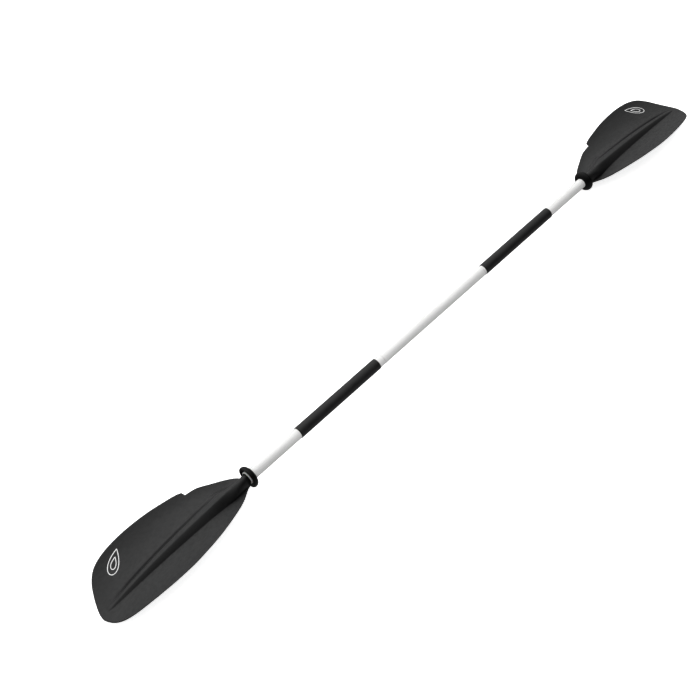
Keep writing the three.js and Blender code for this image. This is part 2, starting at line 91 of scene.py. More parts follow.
BUTTON_R = 3
BUTTON_TIP = 16.1
BUTTON_FROM_MOUTH = 9
BLADE_BUTTON_FROM_RING = 24
LEAF_TOP = 9.6
LEAF_WIDTH = 7
LEAF_THICK = 0.6
LEAF_LENGTH = 26
LEAF_PAST_BUTTON = 0.5  # the leaf's short end, beyond the button
LEAF_END = LEAF_LENGTH - BUTTON_R - LEAF_PAST_BUTTON  # its long end, from the button's middle
PIN_R = 1.5
PIN_INSET = 30
PIN_STANDS_IN = 1  # the pin's inner end stands this far out of the spigot's bore
PIN_BEVEL = 0.3
PIN_HEAD = [(0.3, 0), (0.05, 0.4), (0, 0.9)]  # as [depth below the tube's skin, drop below PIN_R]
HOLE_GAP = 0.3

ROUND = 128  # facets round a turned piece
FOAM_ROUND = 64
BUTTON_ROUND = 48
DRILL_ROUND = 40
PIN_ROUND = 32
HOLE_REACH = 6  # how far a drill reaches to each side of the tube's skin
SMOOTH_BELOW = math.radians(32)  # sharper edges than this stay crisp

# Putting shapes in place --------------------------------------------------------------------------------

tube_low, tube_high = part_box("centre_tube")
AXIS = (tube_low + tube_high) / 2
AXIS.x = 0
TO_ROW = Matrix.Translation(AXIS) @ Matrix.Rotation(-LYING_ROLL, 4, "X") @ Matrix.Scale(MM, 4)


def place(points, end=1):
    """Points of the paddle's frame moved to the CAD frame. end is -1 for the copy at blade a's end."""
    return [TO_ROW @ Vector((end * x, y, z)) for x, y, z in points]


def add_mesh(name, points, faces, end=1):
    """A mesh object from points of the paddle's frame. end is -1 for the copy at blade a's end."""
    mesh = bpy.data.meshes.new(name)
    mesh.from_pydata(place(points, end), [], faces)
    mesh.validate()
    piece = bpy.data.objects.new(name, mesh)
    bpy.context.scene.collection.objects.link(piece)
    return piece


def face_outwards(piece):
    """Turns every face outwards, and smooths the ones that meet at a small angle."""
    mesh = piece.data
    volume = 0
    for polygon in mesh.polygons:
        corners = [mesh.vertices[n].co for n in polygon.vertices]
        for second, third in zip(corners[1:], corners[2:]):
            volume += corners[0].dot(second.cross(third))
    if volume < 0:
        mesh.flip_normals()
    mesh.shade_smooth()
    mesh.set_sharp_from_angle(angle=SMOOTH_BELOW)


def ring_faces(rows, count, closed_rows=False):
    """The quads between rows of points, each row a closed ring of count points."""
    faces = []
    steps = rows if closed_rows else rows - 1
    for row in range(steps):
        here, there = row * count, ((row + 1) % rows) * count
        for n in range(count):
            after = (n + 1) % count
            faces.append((here + n, here + after, there + after, there + n))
    return faces


def turned(profile, segments=ROUND):
    """Points and faces of a solid turned about the X axis. profile is a closed loop of [x, radius]."""
    points = []
    for x, radius in profile:
        for n in range(segments):
            angle = 2 * math.pi * n / segments
            points.append((x, radius * math.cos(angle), radius * math.sin(angle)))
    return points, ring_faces(len(profile), segments, closed_rows=True)


def turned_solid(profile, segments=ROUND):
    """The same for an open profile whose first and last points close on the axis as flat ends."""
    points, _ = turned(profile, segments)
    faces = ring_faces(len(profile), segments)
    last = (len(profile) - 1) * segments
    faces.append(tuple(reversed(range(segments))))
    faces.append(tuple(range(last, last + segments)))
    return points, faces


def pointing_down(points, x):
    """Turns a shape about the X axis into one about a line pointing down from the shaft at x."""
    return [(x + y, z, -along) for along, y, z in points]


def smooth_curve(points, steps):
    """A Catmull-Rom curve through the points, which are tuples of any length."""
    ends = [points[0], *points, points[-1]]
    curve = []
    for before, here, there, after in zip(ends, ends[1:], ends[2:], ends[3:]):
        for n in range(steps):
            t = n / steps
            curve.append(
                tuple(
                    0.5 * (2 * b + (c - a) * t + (2 * a - 5 * b + 4 * c - d) * t**2
                           + (3 * b - a - 3 * c + d) * t**3)
                    for a, b, c, d in zip(before, here, there, after)
                )
            )
    curve.append(tuple(points[-1]))
    return curve


def lerp(low, high, share):
    return low + (high - low) * share


def clamp(value, low=0, high=1):
    return max(low, min(high, value))


def smoothstep(value, start, end):
    share = clamp((value - start) / (end - start))
    return share * share * (3 - 2 * share)


def half_round(share):
    return math.sqrt(max(1 - share * share, 0))


def drilled(piece, holes):
    """Cuts holes through the lower wall. holes are [x, radius, turn round the shaft towards +Y].

    The many-sided faces that a cut leaves are split into triangles.
    """
    for x, radius, turn in holes:
        profile = [(TUBE_R - HOLE_REACH, radius), (TUBE_R + HOLE_REACH, radius)]
        points, faces = turned_solid(profile, DRILL_ROUND)
        swing = Matrix.Rotation(turn, 3, "X")
        points = [swing @ Vector(point) + Vector((x, 0, 0)) for point in pointing_down(points, 0)]
        cutter = add_mesh("cutter", points, faces)
        face_outwards(cutter)
        face_outwards(piece)
        step = piece.modifiers.new("hole", "BOOLEAN")
        step.operation = "DIFFERENCE"
        step.solver = "EXACT"
        step.object = cutter
        shape = piece.evaluated_get(bpy.context.evaluated_depsgraph_get())
        piece.data = bpy.data.meshes.new_from_object(shape)
        piece.modifiers.clear()
        bpy.data.objects.remove(cutter)
    skin = bmesh.new()
    skin.from_mesh(piece.data)
    bmesh.ops.triangulate(skin, faces=[face for face in skin.faces if len(face.verts) > 4])
    skin.to_mesh(piece.data)
    skin.free()


def stand_for(piece, node, material):
    """The piece takes the CAD node's place, body and finish."""
    face_outwards(piece)
    piece.data.materials.clear()
    piece.data.materials.append(material)
    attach(piece, BODY_OF[node])
    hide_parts(node)


# Procedural materials -----------------------------------------------------------------------------------


def new_material(name, **sockets):
    """A material with one Principled shader, whose even values are set on its own sockets."""
    material = bpy.data.materials.new(name)
    material.use_nodes = True
    tree = material.node_tree
    shader = tree.nodes["Principled BSDF"]
    for socket, value in sockets.items():
        shader.inputs[socket.replace("_", " ")].default_value = value
    return material, tree, shader


def add_node(tree, kind, inputs=(), **settings):
    """A node with its settings made and its inputs linked or set."""
    node = tree.nodes.new(kind)
    for name, value in settings.items():
        setattr(node, name, value)
    for socket, value in dict(inputs).items():
        if isinstance(value, bpy.types.NodeSocket):
            tree.links.new(value, node.inputs[socket])
        else:
            node.inputs[socket].default_value = value
    return node


def coordinates(tree, stretch=(1, 1, 1)):
    """Object coordinates in metres, squeezed by stretch on each axis."""
    source = add_node(tree, "ShaderNodeTexCoord").outputs["Object"]
    mapping = add_node(tree, "ShaderNodeMapping", {"Vector": source, "Scale": stretch})
    return mapping.outputs["Vector"]


def noise(tree, scale, stretch=(1, 1, 1), detail=3.0):
    """Soft noise with about scale lumps to the metre."""
    inputs = {"Vector": coordinates(tree, stretch), "Scale": scale, "Detail": detail}
    return add_node(tree, "ShaderNodeTexNoise", inputs).outputs["Fac"]


def cells(tree, scale):
    """Cells with about scale of them to the metre."""
    inputs = {"Vector": coordinates(tree), "Scale": scale}
    return add_node(tree, "ShaderNodeTexVoronoi", inputs).outputs["Distance"]


def spread(tree, factor, low, high, start=0.3, end=0.7):
    """The factor's middle part, from start to end, spread over low to high."""
    inputs = {"Value": factor, "From Min": start, "From Max": end, "To Min": low, "To Max": high}
    return add_node(tree, "ShaderNodeMapRange", inputs).outputs["Result"]


def tint(tree, factor, dark, light, start=0.3, end=0.7):
    """A colour between dark and light."""
    ramp = add_node(tree, "ShaderNodeValToRGB", {"Fac": factor})
    first, last = ramp.color_ramp.elements
    first.position, first.color = start, (*dark, 1)
    last.position, last.color = end, (*light, 1)
    return ramp.outputs["Color"]


def raised(tree, shader, *layers):
    """Bump layers of [height, depth in metres, strength], each on top of the one before."""
    normal = None
    for height, depth, strength in layers:
        inputs = {"Height": height, "Distance": depth, "Strength": strength}
        if normal:
            inputs["Normal"] = normal
        normal = add_node(tree, "ShaderNodeBump", inputs).outputs["Normal"]
    tree.links.new(normal, shader.inputs["Normal"])


def painted_tube_material():
    """Gloss white coating: a faint draw grain under it, soft orange peel and light scuffs."""
    material, tree, shader = new_material("white_tube", Coat_Weight=0.2, Coat_Roughness=0.15)
    cloudy = noise(tree, 9, (1, 6, 6))
    colour = tint(tree, cloudy, (0.74, 0.74, 0.735), (0.8, 0.8, 0.795))
    tree.links.new(colour, shader.inputs["Base Color"])
    scuffs = noise(tree, 60, (1, 12, 12), 6.0)
    tree.links.new(spread(tree, scuffs, 0.24, 0.42, 0.45, 0.75), shader.inputs["Roughness"])
    peel = noise(tree, 700, (0.5, 1, 1), 1.0)
    grain = noise(tree, 900, (0.03, 1, 1))
    raised(tree, shader, (grain, 0.00005, 0.25), (peel, 0.00006, 0.2))
    return material


def white_plastic_material():
    """White moulded nylon, slightly translucent and softly mottled."""
    material, tree, shader = new_material("white_nylon", Subsurface_Weight=0.08, Subsurface_Scale=0.002)
    colour = tint(tree, noise(tree, 120), (0.78, 0.78, 0.765), (0.85, 0.85, 0.84))
    tree.links.new(colour, shader.inputs["Base Color"])
    tree.links.new(spread(tree, noise(tree, 400), 0.3, 0.42), shader.inputs["Roughness"])
    raised(tree, shader, (noise(tree, 2500), 0.00003, 0.3))
    return material


def grip_material():
    """Black heat-shrunk sleeve: fine ribs round it, with a patchy tone and patchy roughness."""
    material, tree, shader = new_material("grip_sleeve", Specular_IOR_Level=0.5)
    ribs_to_metre = 620
    along = add_node(tree, "ShaderNodeSeparateXYZ", {"Vector": coordinates(tree)}).outputs["X"]
    turns = add_node(
        tree, "ShaderNodeMath", {0: along, 1: ribs_to_metre * 2 * math.pi}, operation="MULTIPLY"
    ).outputs["Value"]
    ribs = add_node(tree, "ShaderNodeMath", {0: turns}, operation="SINE").outputs["Value"]
    patchy = noise(tree, 45, detail=5.0)
    colour = tint(tree, patchy, (0.017, 0.017, 0.0174), (0.025, 0.025, 0.0256))
    tree.links.new(colour, shader.inputs["Base Color"])
    tree.links.new(spread(tree, patchy, 0.36, 0.5), shader.inputs["Roughness"])
    raised(tree, shader, (ribs, 0.00009, 0.35), (noise(tree, 1800), 0.00005, 0.25))
    return material


def ring_rubber_material():
    """Soft black rubber with a satin skin and a faint bloom."""
    material, tree, shader = new_material("ring_rubber", Specular_IOR_Level=0.3)
    bloom = noise(tree, 90, detail=5.0)
    colour = tint(tree, bloom, (0.002, 0.002, 0.0021), (0.004, 0.004, 0.0042))
    tree.links.new(colour, shader.inputs["Base Color"])
    tree.links.new(spread(tree, bloom, 0.3, 0.44), shader.inputs["Roughness"])
    raised(tree, shader, (noise(tree, 1500), 0.00004, 0.3))
    return material


def blade_plastic_material():
    """Dark grey moulded plastic: fine grain, flow marks along the blade and a satin sheen with scuffs."""
    material, tree, shader = new_material("blade_plastic", Specular_IOR_Level=0.6)
    flow = noise(tree, 26, (0.5, 2, 2), 9.0)
    colour = tint(tree, flow, (0.007, 0.0071, 0.0074), (0.0115, 0.0117, 0.012))
    tree.links.new(colour, shader.inputs["Base Color"])
    scuffs = noise(tree, 180, (0.6, 1.4, 1), 9.0)
    tree.links.new(spread(tree, scuffs, 0.3, 0.48, 0.35, 0.65), shader.inputs["Roughness"])
    grain = noise(tree, 900, detail=4.0)
    ripple = noise(tree, 40, (0.5, 1.5, 1))
    raised(tree, shader, (ripple, 0.0004, 0.15), (grain, 0.0003, 0.6))
    return material


def seal_rubber_material():
    """Black nitrile with a faint parting mottle."""
    material, tree, shader = new_material("seal_rubber")
    mottle = noise(tree, 500)
    colour = tint(tree, mottle, (0.008, 0.008, 0.008), (0.016, 0.016, 0.017))
    tree.links.new(colour, shader.inputs["Base Color"])
    tree.links.new(spread(tree, mottle, 0.4, 0.55), shader.inputs["Roughness"])
    raised(tree, shader, (mottle, 0.00004, 0.3))
    return material


def metal_material(name, dark, light, smooth, rough):
    """Bare metal with a drawn grain along the paddle."""
    material, tree, shader = new_material(name, Metallic=1.0)
    grain = noise(tree, 1600, (0.02, 1, 1), 5.0)
    colour = tint(tree, grain, dark, light)
    tree.links.new(colour, shader.inputs["Base Color"])
    tree.links.new(spread(tree, grain, smooth, rough), shader.inputs["Roughness"])
    raised(tree, shader, (grain, 0.00003, 0.35))
    return material


def grey_plastic_material():
    """Grey moulded polyethylene, waxy and a little uneven."""
    material, tree, shader = new_material("grey_plastic")
    waxy = noise(tree, 200)
    colour = tint(tree, waxy, (0.07, 0.073, 0.077), (0.1, 0.103, 0.108))
    tree.links.new(colour, shader.inputs["Base Color"])
    tree.links.new(spread(tree, waxy, 0.45, 0.6), shader.inputs["Roughness"])
    raised(tree, shader, (noise(tree, 1500), 0.00005, 0.3))
    return material


def foam_material():
    """Closed-cell foam: pale, dull and pitted, with painted shade that darkens each pit towards its
    middle.
    """
    material, tree, shader = new_material("float_foam")
    pits_and_pit_shade = cells(tree, 900)
    # The colour is darker where the bump sinks into a pit: painted shade in the pits.
    colour = tint(tree, pits_and_pit_shade, (0.62, 0.62, 0.58), (0.76, 0.76, 0.72), 0.1, 0.6)
    tree.links.new(colour, shader.inputs["Base Color"])
    tree.links.new(spread(tree, pits_and_pit_shade, 0.85, 0.97, 0, 0.7), shader.inputs["Roughness"])
    raised(tree, shader, (pits_and_pit_shade, 0.0003, 0.6))
    return material


def print_material():
    """White printing ink, rubbed a little thin."""
    material, tree, shader = new_material("white_print")
    rubbed = noise(tree, 900, detail=5.0)
    colour = tint(tree, rubbed, (0.62, 0.62, 0.62), (0.86, 0.86, 0.86), 0.25, 0.5)
    tree.links.new(colour, shader.inputs["Base Color"])
    tree.links.new(spread(tree, rubbed, 0.4, 0.6), shader.inputs["Roughness"])
    return material


def floor_material():
    """A plain white studio floor, very slightly uneven."""
    material, tree, shader = new_material("studio_floor")
    colour = tint(tree, noise(tree, 1.5), (0.88, 0.88, 0.88), (0.9, 0.9, 0.9))
    tree.links.new(colour, shader.inputs["Base Color"])
    shader.inputs["Roughness"].default_value = 0.7
    shader.inputs["Emission Color"].default_value = (1, 1, 1, 1)
    shader.inputs["Emission Strength"].default_value = FLOOR_GLOW
    return material


WHITE_TUBE = painted_tube_material()
WHITE_NYLON = white_plastic_material()
GRIP = grip_material()
RING_RUBBER = ring_rubber_material()
BLADE_PLASTIC = blade_plastic_material()
SEAL_RUBBER = seal_rubber_material()
SPRING_STEEL = metal_material("spring_steel", (0.5, 0.51, 0.53), (0.66, 0.67, 0.69), 0.22, 0.36)
ALUMINIUM = metal_material("mill_aluminium", (0.66, 0.67, 0.69), (0.8, 0.81, 0.83), 0.28, 0.42)
GREY_PLASTIC = grey_plastic_material()
FOAM = foam_material()
WHITE_PRINT = print_material()

# The blades ---------------------------------------------------------------------------------------------

# Outlines as [distance from the drip ring, distance from the shaft's axis].
NOTCH_SIDE_ROOT = [
    (10.3, 15), (12, 26), (16, 34), (22, 40), (32, 47), (50, 57), (78, 68.5), (92, 73.5), (101, 75.8),
    (112, 76.8), (130.5, 77.6),
]
NOTCH_SIDE_WING = [
    (133, 86.8), (142, 89.8), (166, 94.7), (223, 103.6), (287, 108.3), (335, 107.6), (370, 102.8),
    (395, 93.2), (415, 75.3), (428, 55.5), (440, 32), (446.5, 15), (449.5, -4),
]
PLAIN_SIDE = [
    (10.3, -13.4), (14, -14.5), (20, -16.5), (28, -21), (50, -35.5), (78, -49.5), (127, -68.7),
    (166, -79.3), (223, -88.2), (255, -89.6), (300, -86.3), (370, -73.2), (402, -63.9), (421, -54.1),
    (434, -42.1), (442, -29.5), (447.5, -14), (449.5, -4),
]
NOTCH_START = 130.5
NOTCH_DEPTH = 77.6
NOTCH_END = 133
NECK_START = 7.3
NECK_END = 10
SPINE_END = 430
SPINE_FALL = 0.65
FLANK_WIDTH = 19.5
FLANK_SPAN = (10, 60)
FLANK_FALL = 0.5
FLANK_POWER = 1.2
SHELF_WIDTH = 19
SHELF_NARROWING = 0.3
SHELF_SPAN = (25, 95)
SHELF_FALL = 1.5
CREASE_RUN_OUT = 4  # the crease keeps its full depth until one part in this many of the spine is left
GROOVE_RUN_OUT = 6  # and the groove until one part in this many is
MIN_FOOT = 0.3
FOOT_SHARE = 0.93
WING_LEVEL = -4.4
ROOT_DROP = 5
ROOT_TWIST = 8.5
TWIST_REACH = 40
ROOT_SPAN = (40, 150)
REACH_SPAN = (133, 220)
SPOON_DROP = 26.6
DIHEDRAL = 0.00235
WING_THICK = 5
EDGE_THICK = 2.8
EDGE_FROM = 60
EDGE_ROUND = 2.6
KEEL_END = 120
GROOVE_DEPTH = 3.0  # the fine groove that runs along the crease
GROOVE_WIDTH = 2.5

WING_STEPS = 26
SPINE_STEPS = 18
ROOT_STEPS = 40
ROOT_BUNCHING = 1.6  # above 1 the sections crowd together towards the ring
FIRST_SECTION = NECK_END + 0.8
TIP_STEPS = 64
LAST_TO_GO = 0.5  # the square root of the last section's distance to the tip
SEAL_AT = -7
SEAL_R = 1.2
SEAL_SIDES = 16
NECK_BORE_END = -13
BORE_TAPER = 3  # the slope at the blind end of the neck's bore, along it and across
SHOULDER_EDGE = 0.2  # the small bevels of the shoulder that meets the ring


def outline_at(points, along):
    """A smooth curve through an outline's points, followed by the square root of the distance left."""
    at = [math.sqrt(max(BLADE_LENGTH - x, 0)) for x, _ in points]
    y = [point[1] for point in points]
    here = math.sqrt(max(BLADE_LENGTH - along, 0))

    def slope(n):
        before, after = max(n - 1, 0), min(n + 1, len(y) - 1)
        return (y[after] - y[before]) / (at[after] - at[before])

    k = 0
    while k < len(points) - 2 and here < at[k + 1]:
        k += 1
    span = at[k + 1] - at[k]
    t = (here - at[k]) / span
    return (
        y[k] * (1 + 2 * t) * (1 - t) ** 2
        + slope(k) * span * t * (1 - t) ** 2
        + y[k + 1] * t * t * (3 - 2 * t)
        + slope(k + 1) * span * t * t * (t - 1)
    )


def edges_at(along):
    """The notched and the plain edge of the blade at a distance from the ring."""
    notched = NOTCH_SIDE_ROOT if along <= NOTCH_START else NOTCH_SIDE_WING
    return outline_at(notched, along), outline_at(PLAIN_SIDE, along)


def wing_at(along, y):
    """The height of the wing's back, without the spine."""
    reach = clamp((along - NECK_END) / (BLADE_LENGTH - NECK_END))
    drop = ROOT_DROP + ROOT_TWIST * smoothstep(y, 0, TWIST_REACH)
    root = 1 - smoothstep(along, *ROOT_SPAN)
    return WING_LEVEL - SPOON_DROP * reach**3 + DIHEDRAL * y * y - drop * root


def thickness_at(y):
    return lerp(WING_THICK, EDGE_THICK, min(abs(y) / EDGE_FROM, 1))


def spine_feet(along):
    """How far the spine reaches to its plain and to its notched side."""
    notched, plain = edges_at(along)
    left = 1 - clamp((along - NECK_END) / (SPINE_END - NECK_END))
    flank = lerp(NECK_R, FLANK_WIDTH, smoothstep(along, *FLANK_SPAN)) * left**FLANK_FALL + MIN_FOOT
    shelf_edge = SHELF_WIDTH * left**SHELF_NARROWING + MIN_FOOT
    shelf_edge = lerp(NECK_R, shelf_edge, smoothstep(along, *SHELF_SPAN))
    return min(flank, -FOOT_SHARE * plain), min(shelf_edge, FOOT_SHARE * notched)


def back_at(along, y):
    """The height of the blade's back, with the spine and the groove along its crease."""
    notched, _ = edges_at(along)
    plain_foot, notch_foot = spine_feet(along)
    left = 1 - clamp((along - NECK_END) / (SPINE_END - NECK_END))
    shelf = smoothstep(along, *SHELF_SPAN)
    crest = wing_at(along, 0) + ROOT_DROP * (1 - smoothstep(along, *ROOT_SPAN))
    crest += (NECK_R - WING_LEVEL) * left**SPINE_FALL
    crease = crest - SHELF_FALL * min(CREASE_RUN_OUT * left, 1)
    lift = (crease - wing_at(along, notch_foot)) * shelf
    groove = GROOVE_DEPTH * shelf * min(GROOVE_RUN_OUT * left, 1)
    groove *= math.exp(-(((y - notch_foot) / GROOVE_WIDTH) ** 2))
    if y <= -plain_foot:
        return wing_at(along, y)
    if y < 0:
        steep = 1 - (-y / plain_foot) ** FLANK_POWER
        return lerp(wing_at(along, -plain_foot), crest, lerp(half_round(y / plain_foot), steep, shelf))
    if y < notch_foot:
        fall = lerp(half_round(y / notch_foot), 1 - (y / notch_foot) ** 2, shelf)
        return lerp(wing_at(along, notch_foot) + lift, crest, fall) - groove
    edge = lerp(min(notched, NOTCH_DEPTH), notched, smoothstep(along, *REACH_SPAN))
    past = clamp((y - notch_foot) / (edge - notch_foot))
    return wing_at(along, y) + lift * (1 - past) ** 2 - groove


def face_at(along, y):
    """The height of the power face, with the neck's underside running out into it."""
    notched, plain = edges_at(along)
    keel_half = min(NECK_R, FOOT_SHARE * notched, -FOOT_SHARE * plain)
    keel_left = 1 - clamp((along - NECK_END) / (KEEL_END - NECK_END))
    keel = (NECK_R + wing_at(along, 0) - WING_THICK) * keel_left**2
    return wing_at(along, y) - thickness_at(y) - keel * half_round(y / keel_half)


def blade_section(along):
    """A closed ring of points: over the back from plain to notched edge, then back along the face."""
    notched, plain = edges_at(along)
    plain_foot, notch_foot = spine_feet(along)
    across = []
    for n in range(WING_STEPS + 1):
        across.append(lerp(plain, -plain_foot, (1 - math.cos(math.pi * n / WING_STEPS)) / 2))
    for n in range(1, SPINE_STEPS + 1):
        across.append(-plain_foot * math.cos(n / SPINE_STEPS * math.pi / 2))
    for n in range(1, SPINE_STEPS):
        across.append(notch_foot * math.sin(n / SPINE_STEPS * math.pi / 2))
    for n in range(WING_STEPS + 1):
        across.append(lerp(notch_foot, notched, (1 - math.cos(math.pi * n / WING_STEPS)) / 2))

    over, under = [], []
    for y in across:
        rim = half_round(1 - clamp(min(notched - y, y - plain) / EDGE_ROUND))
        middle = wing_at(along, y) - thickness_at(y) / 2
        over.append((along, y, lerp(middle, back_at(along, y), rim)))
        under.append((along, y, lerp(middle, face_at(along, y), rim)))
    return over + under[-2:0:-1]


def neck_section(along, radius, count):
    """A round section of the neck with its points shared out like a blade section's."""
    half = count // 2
    ring = []
    for n in range(count):
        angle = math.pi * (1 - n / half)
        ring.append((along, radius * math.cos(angle), radius * math.sin(angle)))
    return ring


def blade_rows():
    """Every ring of the blade, from the end of the neck's hollow out over the neck to the tip."""
    wing = []
    for n in range(ROOT_STEPS + 1):
        wing.append(blade_section(lerp(FIRST_SECTION, NOTCH_START, (n / ROOT_STEPS) ** ROOT_BUNCHING)))
    for n in range(TIP_STEPS + 1):
        to_go = lerp(math.sqrt(BLADE_LENGTH - NOTCH_END), LAST_TO_GO, n / TIP_STEPS)
        wing.append(blade_section(BLADE_LENGTH - to_go**2))
    groove_r = BORE_R - 2 * SEAL_R - HOLE_GAP
    groove_half = SEAL_R + HOLE_GAP
    neck = [
        (NECK_BORE_END, PLUG_BORE_R - BORE_TAPER),
        (NECK_BORE_END - BORE_TAPER, PLUG_BORE_R),
        (-PLUG_LENGTH, PLUG_BORE_R),
        (-PLUG_LENGTH, SPIGOT_R - PLUG_TAPER),
        (-PLUG_LENGTH + PLUG_LEAD_IN, SPIGOT_R),
        (SEAL_AT - groove_half, SPIGOT_R),
        (SEAL_AT - groove_half, groove_r),
        (SEAL_AT + groove_half, groove_r),
        (SEAL_AT + groove_half, SPIGOT_R),
        (NECK_START - SHOULDER_EDGE, SPIGOT_R),
        (NECK_START, NECK_R - SHOULDER_EDGE),
    ]
    count = len(wing[0])
    return [neck_section(x, radius, count) for x, radius in neck] + wing


def add_blade(letter, end):
    """One moulded blade with its neck, closed at both ends, and its button hole."""
    rows = blade_rows()
    count = len(rows[0])
    points = [(SHAFT_HALF + x, y, z) for row in rows for x, y, z in row]
    faces = ring_faces(len(rows), count)
    last = (len(rows) - 1) * count
    faces.append(tuple(reversed(range(count))))
    faces.append(tuple(range(last, last + count)))
    piece = add_mesh(f"blade_skin_{letter}", points, faces, end)
    face_outwards(piece)
    drilled(piece, [(end * (SHAFT_HALF - BLADE_BUTTON_FROM_RING), BUTTON_R + HOLE_GAP, 0)])
    stand_for(piece, f"blade_{letter}", BLADE_PLASTIC)


# A printed mark near each tip: two plain drop outlines, one inside the other.
MARK_CENTRE = (348, 74)
MARK_TURN = math.radians(145)
MARK_LENGTH = 58
MARK_WIDTH = 25
MARK_LINE = 2.0
MARK_LIFT = 0.12
DROP_FULLNESS = 0.62  # brings the drop's full width to about MARK_WIDTH
INNER_DROP = 0.48  # the inner drop's share of the outer one's size
INNER_SHIFT = -0.05  # and its shift along it, as a share of the length


def drop_outline(size=1.0, shift=0.0, steps=96):
    """A closed drop: round at one end and pointed at the other."""
    path = []
    for n in range(steps):
        angle = 2 * math.pi * n / steps
        along = (math.cos(angle) * size / 2 + shift) * MARK_LENGTH
        across = math.sin(angle) * math.sin(angle / 2) * MARK_WIDTH * size * DROP_FULLNESS
        path.append((along, across))
    return path


def add_line(name, path, letter, end):
    """A thin closed line of print that follows the blade's back."""
    cos, sin = math.cos(MARK_TURN), math.sin(MARK_TURN)
    flat = [(MARK_CENTRE[0] + a * cos - b * sin, MARK_CENTRE[1] + a * sin + b * cos) for a, b in path]
    points = []
    for n, (u, y) in enumerate(flat):
        before, after = flat[n - 1], flat[(n + 1) % len(flat)]
        way = Vector((after[0] - before[0], after[1] - before[1])).normalized()
        side = Vector((-way.y, way.x)) * MARK_LINE / 2
        for sign, lift in ((-1, 0), (1, 0), (1, MARK_LIFT), (-1, MARK_LIFT)):
            place_u, place_y = u + sign * side.x, y + sign * side.y
            points.append((SHAFT_HALF + place_u, place_y, back_at(place_u, place_y) + lift))
    faces = ring_faces(len(flat), 4, closed_rows=True)
    piece = add_mesh(f"{name}_{letter}", points, faces, end)
    face_outwards(piece)
    piece.data.materials.append(WHITE_PRINT)
    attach(piece, f"blade_{letter}")


for letter, end in ENDS.items():
    add_blade(letter, end)
    add_line("drop_mark", drop_outline(), letter, end)
    add_line("inner_drop_mark", drop_outline(INNER_DROP, INNER_SHIFT), letter, end)

# Drip rings, collars and seals --------------------------------------------------------------------------

RING_BACK = -9.6  # where the ring's bore begins and ends
RING_FRONT = 0.9
RING_SECTION = [
    (RING_BACK, 15.2), (-8.8, 18.2), (-7.2, 21.6), (-4.8, 25), (-1.9, 27.3), (1.2, 28.1), (4.5, 27.9),
    (6.8, 26.4), (6.4, 24.2), (4.6, 22.2), (2.6, 19.6), (1.2, 17),
]
RING_STEPS = 8
COLLAR_START = 1.5
COLLAR_END = 6.8
COLLAR_LIP = 5.3
COLLAR_R = 16.2
COLLAR_ROUNDING = 0.8
MOST_OF_SIDE = 0.45  # the most of a side that the rounding of one of its corners takes


def rounded(profile, radius, steps=5):
    """A closed profile with its corners rounded, or less where the sides are short."""
    result = []
    for n, corner in enumerate(profile):
        here = Vector(corner)
        before = Vector(profile[n - 1]) - here
        after = Vector(profile[(n + 1) % len(profile)]) - here
        reach = min(radius, before.length * MOST_OF_SIDE, after.length * MOST_OF_SIDE)
        start = here + before.normalized() * reach
        end = here + after.normalized() * reach
        for k in range(steps + 1):
            t = k / steps
            point = start * (1 - t) ** 2 + here * 2 * t * (1 - t) + end * t * t
            result.append((point.x, point.y))
    return result


def add_end_pieces(letter, end):
    """The drip ring, the collar at the tube's mouth and the seal on the blade's neck."""
    bore_r = TUBE_R + SLIDING_FIT
    lip_r = BORE_R + TIGHT_FIT
    ring = [(RING_BACK, bore_r), *smooth_curve(RING_SECTION, RING_STEPS), (RING_FRONT, bore_r)]
    collar = [
        (COLLAR_START, bore_r), (COLLAR_START, COLLAR_R), (COLLAR_END, COLLAR_R),
        (COLLAR_END, lip_r), (COLLAR_LIP, lip_r), (COLLAR_LIP, bore_r),
    ]
    collar = rounded(collar, COLLAR_ROUNDING)
    seal = []
    for n in range(SEAL_SIDES):
        angle = 2 * math.pi * n / SEAL_SIDES
        radius = BORE_R - TIGHT_FIT / 2 - SEAL_R * (1 - math.sin(angle))
        seal.append((SEAL_AT + SEAL_R * math.cos(angle), radius))
    for name, profile, node, material in (
        ("drip_cup", ring, "drip_ring", RING_RUBBER),
        ("mouth_collar", collar, "neck_collar", WHITE_NYLON),
        ("o_ring", seal, "neck_seal", SEAL_RUBBER),
    ):
        points, faces = turned([(SHAFT_HALF + x, radius) for x, radius in profile])
        piece = add_mesh(f"{name}_{letter}", points, faces, end)
        stand_for(piece, f"{node}_{letter}", material)


for letter, end in ENDS.items():
    add_end_pieces(letter, end)

# The shaft ----------------------------------------------------------------------------------------------

HOLE_MARGIN = 9  # the tubes have extra rows of facets this far to each side of a hole
END_MARGIN = 1  # but none nearer to a tube's end than this
TUBE_EDGE = 0.25
SPIGOT_EDGE = 0.4
SLEEVE_ROUNDING = 0.5


def add_pipe(name, node, span, radii, edge, holes, material):
    """A tube with softened ends and drilled holes. holes are [x, radius, turn]."""
    start, stop = span
    outer, inner = radii
    rows = sorted({x + side * HOLE_MARGIN for x, _, _ in holes for side in (-1, 1)})
    rows = [x for x in rows if start + END_MARGIN < x < stop - END_MARGIN]
    outside = [(x, outer) for x in (start + edge, *rows, stop - edge)]
    inside = [(x, inner) for x in (stop, *reversed(rows), start)]
    profile = [(start, outer - edge), *outside, (stop, outer - edge), *inside]
    piece = add_mesh(name, *turned(profile))
    face_outwards(piece)
    if holes:
        drilled(piece, holes)
    stand_for(piece, node, material)


BUTTON_HOLE = BUTTON_R + HOLE_GAP
PIN_HOLE = PIN_R + TIGHT_FIT
BUTTON_X = {"a": SEAM_A - BUTTON_FROM_MOUTH, "b": SEAM_B - BUTTON_FROM_MOUTH}
PIN_X = {"a": SEAM_A + PIN_INSET, "b": SEAM_B + PIN_INSET}
SEAM_X = {"a": SEAM_A, "b": SEAM_B}
BLADE_BUTTON_X = SHAFT_HALF - BLADE_BUTTON_FROM_RING

